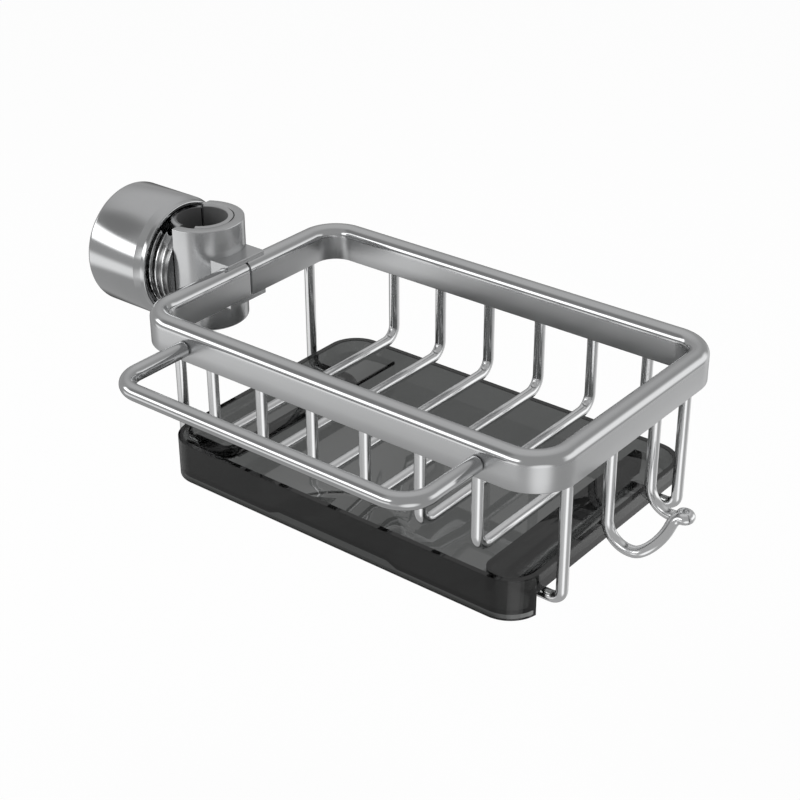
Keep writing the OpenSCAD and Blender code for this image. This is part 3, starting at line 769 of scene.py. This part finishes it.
def hook():
    """The cloth hook's wire, its two halves mirrored in its middle plane.

    From the side each half is a straight leg down, the bowl's arc, a straight climb and a bend back to level,
    and a half circle crosses the tip. From the length share HOOK_NARROW_SHARE on, the halves draw in by
    u u (3 - 2 u), with u going from 0 to 1.
    """
    b = math.radians(HOOK_CLIMB)
    w = np.linspace(0.0, math.pi / 2 + b, HOOK_BOWL_STEPS + 1)
    bowl = np.stack([HOOK_BOWL_R * (1.0 - np.cos(w)), -HOOK_LEG - HOOK_BOWL_R * np.sin(w)], axis=-1)
    climb = bowl[-1] + HOOK_RUN * np.array([math.cos(b), math.sin(b)])
    v = b - np.linspace(0.0, b, HOOK_BEND_STEPS + 1)
    bend = climb + HOOK_TIP_BEND_R * np.stack([math.sin(b) - np.sin(v), np.cos(v) - math.cos(b)], axis=-1)
    leg = np.linspace(0.0, -HOOK_LEG, HOOK_LEG_STEPS + 1)[:-1]
    side = np.concatenate([np.stack([0.0 * leg, leg], axis=-1), bowl, bend])
    share = along(side) / along(side)[-1]
    u = np.clip((share - HOOK_NARROW_SHARE) / (1.0 - HOOK_NARROW_SHARE), 0.0, 1.0)
    half = HOOK_SPAN / 2 - (HOOK_SPAN - HOOK_TIP_SPAN) / 2 * u * u * (3.0 - 2.0 * u)
    near = np.stack([side[:, 0], half, side[:, 1]], axis=-1)
    near[0, 2] = WIRE_SINK
    turn = np.linspace(0.0, math.pi / 2, HOOK_TIP_STEPS + 1)[1:]
    r = HOOK_TIP_SPAN / 2
    tip = np.stack([side[-1, 0] + r * np.sin(turn), r * np.cos(turn), 0.0 * turn + side[-1, 1]], axis=-1)
    near = np.concatenate([near, tip])
    far = near[:-1][::-1] * [1.0, -1.0, 1.0]
    path = np.concatenate([near, far]) + [RIM_X + HOOK_X, 0.0, RIM_Z]
    return wire(path, np.array([0.6, 0.8, 0.0]))


def towel_bar():
    """The bar's bent round rod; a thinner neck at each end leaves the joint's dark gap in front of the rim.

    Each end has five circles: two of the neck, then three that ease the rod's end edge.
    """
    end_y = -RIM_WIDTH / 2
    front_y = end_y - BAR_REACH
    left, right = RIM_X - BAR_X, RIM_X + BAR_X
    bent = bent_path([
        [left, end_y, BAR_Z],
        [left, front_y, BAR_Z],
        [right, front_y, BAR_Z],
        [right, end_y, BAR_Z],
    ], BAR_BEND_R, BAR_BEND_STEPS)[1:-1]
    steps = np.array([0.0, BAR_JOINT, BAR_JOINT, BAR_JOINT + BAR_EASE, BAR_JOINT + 2 * BAR_EASE])
    start = np.stack([np.full(5, left), end_y - steps, np.full(5, BAR_Z)], axis=-1)
    finish = (start * [0.0, 1.0, 1.0] + [right, 0.0, 0.0])[::-1]
    path = np.concatenate([start, bent, finish])
    end_radii = BAR_D / 2 - np.array([BAR_NECK_SET, BAR_NECK_SET, BAR_EASE, BAR_EASE_LAST, 0.0])
    radii = np.concatenate([end_radii, np.full(len(bent), BAR_D / 2), end_radii[::-1]])
    ways = unit(np.gradient(path[4:-4], axis=0))
    ways = np.concatenate([np.repeat(ways[:1], 4, axis=0), ways, np.repeat(ways[-1:], 4, axis=0)])
    up = np.broadcast_to([0.0, 0.0, 1.0], path.shape)
    return grid(rings(path, radii, np.cross(ways, up), up, BAR_SIDES), along(path))


def sleeve():
    """Half sleeve: a ring section with eased edges, from x = 0 in front to x = -REAR_ARM_REACH behind."""
    h, e = SLEEVE_HEIGHT / 2, SLEEVE_BORE_EDGE
    profile = np.concatenate([
        arc((SLEEVE_R - SLEEVE_EDGE_R, -h + SLEEVE_EDGE_R), SLEEVE_EDGE_R, -90.0, 0.0, 8),
        [[SLEEVE_R, 0.0]],
        arc((SLEEVE_R - e, h - e), e, 0.0, 90.0, 5),
        arc((BORE_R + e / 2, h - e / 2), e / 2, 90.0, 180.0, 3),
        [[BORE_R, 0.0]],
        arc((BORE_R + e / 2, -h + e / 2), e / 2, 180.0, 270.0, 3),
    ])
    rear = 90.0 + np.degrees(np.arcsin(REAR_ARM_REACH / profile[:, 0]))
    return part_ring(profile, -90.0, rear, SLEEVE_STEPS)


def jaw(side):
    """One threaded jaw, side 1 to +Y or -1 to -Y.

    At each x its section is an arc about the X axis, closed by the chord in the channel's plane. The arc's
    radius follows the thread's form at the phase x / pitch - angle / 360, so that the ridge winds as one
    right-hand screw, and falls off at the jaw's end.
    """
    x = np.linspace(JAW_START_X, -JAW_LENGTH, JAW_STEPS + 1)
    share = np.linspace(-1.0, 1.0, JAW_ARC_STEPS + 1)
    root_r = THREAD_R - THREAD_DEPTH
    half_angle = np.degrees(np.arccos(BORE_R / (THREAD_R - THREAD_DEPTH / 2)))
    angle = 90.0 * (1 - side) + share * half_angle
    phase = (x[:, None] / THREAD_PITCH - angle[None] / 360.0) % 1.0
    form = ([0.0, 0.29, 0.44, 0.56, 0.71, 1.0], [root_r, root_r, THREAD_R, THREAD_R, root_r, root_r])
    radius = np.interp(phase, *form)
    radius += np.interp(x, [-JAW_LENGTH, -JAW_LENGTH + JAW_LEAD], [-JAW_LEAD, 0.0])[:, None]
    limit = np.arccos(BORE_R / radius)
    a = share[None] * limit
    y = side * radius * np.cos(a)
    z = side * radius * np.sin(a)
    chord = np.linspace(1.0, -1.0, JAW_CHORD_STEPS + 1)[1:-1]
    chord_z = side * chord[None] * (radius * np.sin(limit))[:, -1:]
    y = np.concatenate([y, np.full_like(chord_z, side * BORE_R)], axis=1)
    z = np.concatenate([z, chord_z], axis=1)
    points = np.stack([np.broadcast_to(x[:, None], y.shape), y, z], axis=-1)
    return grid(points, -x)


def liner():
    """Rubber liner: a ring section between two radial ends.

    Its upper outer edge is set back by k times a share, which leaves a slit to the sleeve. The share rises
    from 0 to 1 and falls again, each over SLIT_FADE degrees, at the slit's two ends.
    """
    h, k, e = SLEEVE_HEIGHT / 2, LINER_RELIEF, LINER_EASE
    profile = np.array([
        [LINER_R, -h], [BORE_R, -h], [BORE_R, h - 2 * k], [BORE_R - k, h - 2 * k], [BORE_R - k, h],
        [LINER_R + e, h], [LINER_R, h - e],
    ])
    points, faces, uv = part_ring(profile, LINER_FRONT, LINER_REAR, LINER_STEPS)
    section = points.reshape(-1, len(profile), 3)
    angle = np.degrees(np.arctan2(section[:, 0, 1], section[:, 0, 0]))
    rise = np.clip((angle - SLIT_FROM) / SLIT_FADE, 0.0, 1.0)
    fall = np.clip((SLIT_TO - angle) / SLIT_FADE, 0.0, 1.0)
    reach = (BORE_R - k * rise * fall) / (BORE_R - k)
    section[:, 3:5, :2] *= reach[:, None, None]
    return section.reshape(-1, 3), faces, uv


def shoe_slice(inner, outer, ease):
    """A layer of the curved shoe between two radii, from the rear arm's side to the front."""
    h = SHOE_HEIGHT / 2
    profile = np.array([
        [inner, -h], [outer - ease, -h], [outer, -h + ease], [outer, h - ease], [outer - ease, h], [inner, h],
    ])
    reach = math.sqrt(BORE_R ** 2 - REAR_ARM_REACH ** 2) - GUIDE_GAP
    start = 180.0 - math.degrees(math.asin(reach / BORE_R))
    end = 270.0 - math.degrees(math.asin(SHOE_FRONT_SET / BORE_R))
    return part_ring(profile, start, end, SHOE_STEPS)


def carrier():
    """Curved shoe, its guide block and the stem."""
    low = (-BLOCK_LENGTH, -BLOCK_WIDTH / 2, -BLOCK_HEIGHT / 2)
    high = (-PAD_FACE_R, BLOCK_WIDTH / 2, BLOCK_HEIGHT / 2)
    start_x, r = STEM_SINK - BLOCK_LENGTH, STEM_D / 2
    stem = np.array([
        [start_x, 0.0], [start_x, r], [STEM_EASE - STEM_END, r], [-STEM_END, r - STEM_EASE], [-STEM_END, 0.0],
    ])
    return [
        shoe_slice(PAD_FACE_R, SHOE_BACK_R, SHOE_EASE),
        rounded_box(low, high, BLOCK_EDGE_R),
        turned(stem, STEM_SIDES),
    ]


def cap():
    """Closed hand nut turned about X: rounded closed end, taper, collar at the mouth, lead-in and boss."""
    s = CAP_EASE
    taper_x = CAP_MOUTH_X - CAP_RING
    collar_x = CAP_MOUTH_X - CAP_COLLAR
    lead_x = CAP_MOUTH_X - CAP_LEAD
    collar_r = CAP_R - CAP_TAPER
    profile = np.concatenate([
        [[CAP_END_X, 0.0], [CAP_END_X, CAP_END_RING_R]],
        arc((CAP_END_X + CAP_EDGE_R, CAP_R - CAP_EDGE_R), CAP_EDGE_R, 180.0, 90.0, 10),
        [[taper_x - s, CAP_R], [taper_x, CAP_R - s / 2], [taper_x + s, CAP_R - s]],
        [[collar_x - s, collar_r - s], [collar_x - s / 2, collar_r]],
        [[collar_x + s / 2, collar_r + s], [collar_x + 2 * s, collar_r + s]],
        arc((CAP_MOUTH_X - CAP_BEVEL, collar_r + s - CAP_BEVEL), CAP_BEVEL, 90.0, 0.0, 6),
        [[CAP_MOUTH_X, CAP_LEAD_R + s], [CAP_MOUTH_X - s, CAP_LEAD_R], [lead_x, CAP_LEAD_R]],
        [[lead_x, CAP_MOUTH_R], [CAP_INNER_X, CAP_MOUTH_R], [CAP_INNER_X, CAP_BOSS_R]],
        [[CAP_BOSS_X, CAP_BOSS_R], [CAP_BOSS_X, CAP_SOCKET_R]],
        [[CAP_INNER_X, CAP_SOCKET_R], [CAP_INNER_X, 0.0]],
    ])
    return turned(profile, CAP_SIDES)


def dress_jaws(obj):
    """Gives the faces left of the pipe and outside the sleeve's round the jaws' material, with painted light
    and shade.
    """
    obj.data.materials.append(JAW)
    faces = obj.data.polygons
    centres = np.zeros(3 * len(faces))
    faces.foreach_get("center", centres)
    x, y = centres.reshape(-1, 3)[:, :2].T
    is_jaw = (x < 0.0) & (np.hypot(x, y) > SLEEVE_R * MM)
    faces.foreach_set("material_index", is_jaw.astype(np.int32))


def build_pieces():
    """Every visible piece, with its body, the CAD nodes that it replaces and its material."""
    piece("rim_bar", "caddy", ["rim_band"], RIM_SATIN, [rim()], sharp=50.0)
    for index in range(WIRE_COUNT):
        nodes = [f"cross_wire_{index + 1}"]
        piece(f"floor_wire_{index + 1}", "caddy", nodes, WIRE, [cross_wire(index)])
    for name, side in (("left", -1), ("right", 1)):
        piece(f"{name}_hanger_wire", "caddy", [f"tray_hanger_{name}"], WIRE, [hanger(side)])
    piece("hook_wire", "caddy", ["cloth_hook"], WIRE, [hook()])
    piece("towel_rod", "caddy", ["towel_bar"], SATIN, [towel_bar()])
    copied("bracket_block", "band_bracket", "caddy", CAST, 0.4)
    body = piece("clamp_sleeve", "caddy", ["clamp_body"], CAST, [sleeve(), jaw(-1), jaw(1)])
    dress_jaws(body)
    piece("liner", "caddy", ["sleeve_liner"], RUBBER, [liner()])
    piece("shoe", "pressure_pad", ["pad_carrier"], CAST, carrier())
    piece("pad_face", "pressure_pad", ["grip_pad"], RUBBER, [shoe_slice(LINER_R, PAD_FACE_R, 0.0)])
    piece("hand_nut", "cap", ["clamp_cap"], TURNED, [cap()], sharp=30.0)
    copied("tray_moulding", "drip_tray", "tray", SMOKY, 0.22)
    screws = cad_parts["towel_bar_screws"]
    screws.data.materials.clear()
    screws.data.materials.append(WIRE)


build_pieces()


# Camera of the photograph, with angles in degrees, the lens in millimetres and its place in metres
AZIMUTH = 38.53
ELEVATION = 28.82
ROLL = -0.24
LENS = 76.545
SENSOR_WIDTH = 36.0
EYE = (0.5302, -0.5184, 0.3318)


def make_camera():
    """Sets the camera at the eye, looking along the azimuth and elevation, rolled about its own view line."""
    a, e, roll = (math.radians(v) for v in (AZIMUTH, ELEVATION, ROLL))
    back = Vector((math.sin(a) * math.cos(e), -math.cos(a) * math.cos(e), math.sin(e)))
    right = Vector((math.cos(a), math.sin(a), 0.0))
    up = back.cross(right)
    rolled_right = math.cos(roll) * right + math.sin(roll) * up
    rolled_up = -math.sin(roll) * right + math.cos(roll) * up
    data = bpy.data.cameras.new("camera")
    data.lens = LENS
    data.sensor_width = SENSOR_WIDTH
    data.clip_start = 0.01
    data.clip_end = 50.0
    camera = bpy.data.objects.new("camera", data)
    bpy.context.scene.collection.objects.link(camera)
    turn = Matrix((rolled_right, rolled_up, back)).transposed().to_4x4()
    camera.matrix_world = Matrix.Translation(EYE) @ turn
    bpy.context.scene.camera = camera


def seen_by_eye(tree):
    """One for what the eye sees straight or through the plastic, zero for reflections and for light."""
    path = add(tree, "ShaderNodeLightPath")
    return math_node(tree, "MAXIMUM", path.outputs["Is Camera Ray"], path.outputs["Is Transmission Ray"])


# Floor, in metres, with its grey for light and shade and its share of white for the eye
FLOOR_Z = -0.30
FLOOR_HALF = 4.0
FLOOR_GREY = (0.85, 0.85, 0.85, 1.0)
FLOOR_WHITE_SHARE = 0.93


def floor_material():
    """A pale floor: diffuse for light and shade, lifted to white for the eye and for what plastic shows."""
    made = bpy.data.materials.new("pale floor")
    made.use_nodes = True
    tree = made.node_tree
    tree.nodes.remove(tree.nodes["Principled BSDF"])
    paint = add(tree, "ShaderNodeBsdfDiffuse")
    paint.inputs["Color"].default_value = FLOOR_GREY
    white = add(tree, "ShaderNodeEmission")
    white.inputs["Strength"].default_value = 1.0
    mixed = add(tree, "ShaderNodeMixShader")
    feed(tree, mixed.inputs[0], math_node(tree, "MULTIPLY", seen_by_eye(tree), FLOOR_WHITE_SHARE))
    feed(tree, mixed.inputs[1], paint.outputs[0])
    feed(tree, mixed.inputs[2], white.outputs[0])
    feed(tree, tree.nodes["Material Output"].inputs["Surface"], mixed.outputs[0])
    return made


def make_floor():
    """A square floor that the metal does not mirror."""
    mesh = bpy.data.meshes.new("floor")
    corners = np.array([[-1, -1], [1, -1], [1, 1], [-1, 1]]) * FLOOR_HALF
    mesh.from_pydata([(x, y, FLOOR_Z) for x, y in corners], [], [(0, 1, 2, 3)])
    mesh.materials.append(floor_material())
    floor = bpy.data.objects.new("floor", mesh)
    bpy.context.scene.collection.objects.link(floor)
    floor.visible_glossy = False


# Soft light of the studio as seen in the metal. A glow: direction, half width in degrees where it is full and
# where it ends, and strength, below zero for a shade. A soft box: azimuth, half width and feather in degrees,
# foot, head and feather as the sine of the elevation, and strength.
STUDIO_BASE = 0.46
STUDIO_GLOWS = (
    ((-0.30, 0.30, 0.90), 14.0, 50.0, 0.22),
    ((-0.55, -0.50, 0.67), 8.0, 24.0, -0.16),
    ((0.69, -0.55, -0.48), 8.0, 28.0, 0.85),
    ((0.14, -0.86, -0.48), 5.0, 20.0, 0.15),
    ((0.44, 0.70, -0.56), 3.0, 14.0, 0.20),
    ((0.08, 0.90, -0.43), 8.0, 28.0, 0.35),
    ((-0.545, 0.686, -0.482), 12.0, 40.0, -0.37),
)
STUDIO_BOXES = (
    (-124.0, 34.0, 8.0, 0.12, 0.42, 0.04, 2.2),
    (-124.0, 30.0, 10.0, -0.455, -0.20, 0.07, 0.80),
    (45.0, 20.0, 18.0, -0.20, 0.36, 0.14, 0.90),
)


def window(tree, value, low, high, feather):
    """One inside the span low to high, falling smoothly to nothing over the feather on each side."""
    rise = remap(tree, value, low - feather, low + feather, 0.0, 1.0, smooth=True)
    fall = remap(tree, value, high - feather, high + feather, 1.0, 0.0, smooth=True)
    return math_node(tree, "MULTIPLY", rise, fall)


def round_glow(tree, vector, direction, full, none, strength):
    """The strength within the angle full of the direction, falling smoothly to nothing at the angle none."""
    dot = vector_node(tree, "DOT_PRODUCT", vector, direction)
    outer, inner = math.cos(math.radians(none)), math.cos(math.radians(full))
    return remap(tree, dot, outer, inner, 0.0, strength, smooth=True)


def make_world():
    """White for the eye and for what plastic shows; for metal and for light, a grey with soft pale panels."""
    world = bpy.data.worlds.new("studio")
    bpy.context.scene.world = world
    world.use_nodes = True
    tree = world.node_tree
    way = add(tree, "ShaderNodeTexCoord").outputs["Generated"]
    level = STUDIO_BASE
    for direction, full, none, strength in STUDIO_GLOWS:
        glow = round_glow(tree, way, Vector(direction).normalized(), full, none, strength)
        level = math_node(tree, "ADD", glow, level)
    height = axis_parts(tree, way)["Z"]
    bearing = vector_node(tree, "NORMALIZE", vector_node(tree, "MULTIPLY", way, (1.0, 1.0, 0.0)))
    for azimuth, half, feather, foot, head, soft, strength in STUDIO_BOXES:
        a = math.radians(azimuth)
        across = round_glow(tree, bearing, (math.cos(a), math.sin(a), 0.0), half, half + feather, strength)
        box = math_node(tree, "MULTIPLY", across, window(tree, height, foot, head, soft))
        level = math_node(tree, "ADD", box, level)
    sky = tree.nodes["Background"]
    feed(tree, sky.inputs["Strength"], mix(tree, seen_by_eye(tree), level, 1.0, kind="FLOAT"))
    sky.inputs["Color"].default_value = (1.0, 1.0, 1.0, 1.0)


# Square area lamps: name, place and size in metres, and power in watts, all turned to one target
LAMP_TARGET = (0.1, 0.0, 0.0)
LAMPS = (
    ("key", (-0.9, -1.1, 1.3), 0.7, 12.0),
    ("top", (0.2, 0.5, 1.6), 1.0, 10.0),
)


def make_lamp(name, place, size, power):
    """A lamp that lights the rough surfaces, and that the metal does not mirror."""
    data = bpy.data.lights.new(name, "AREA")
    data.shape = "SQUARE"
    data.size = size
    data.energy = power
    lamp = bpy.data.objects.new(name, data)
    bpy.context.scene.collection.objects.link(lamp)
    lamp.location = place
    lamp.rotation_mode = "QUATERNION"
    lamp.rotation_quaternion = (Vector(LAMP_TARGET) - Vector(place)).to_track_quat("-Z", "Y")
    lamp.visible_glossy = False


make_camera()
make_floor()
make_world()
for lamp_values in LAMPS:
    make_lamp(*lamp_values)

bpy.context.scene.view_settings.view_transform = "Standard"
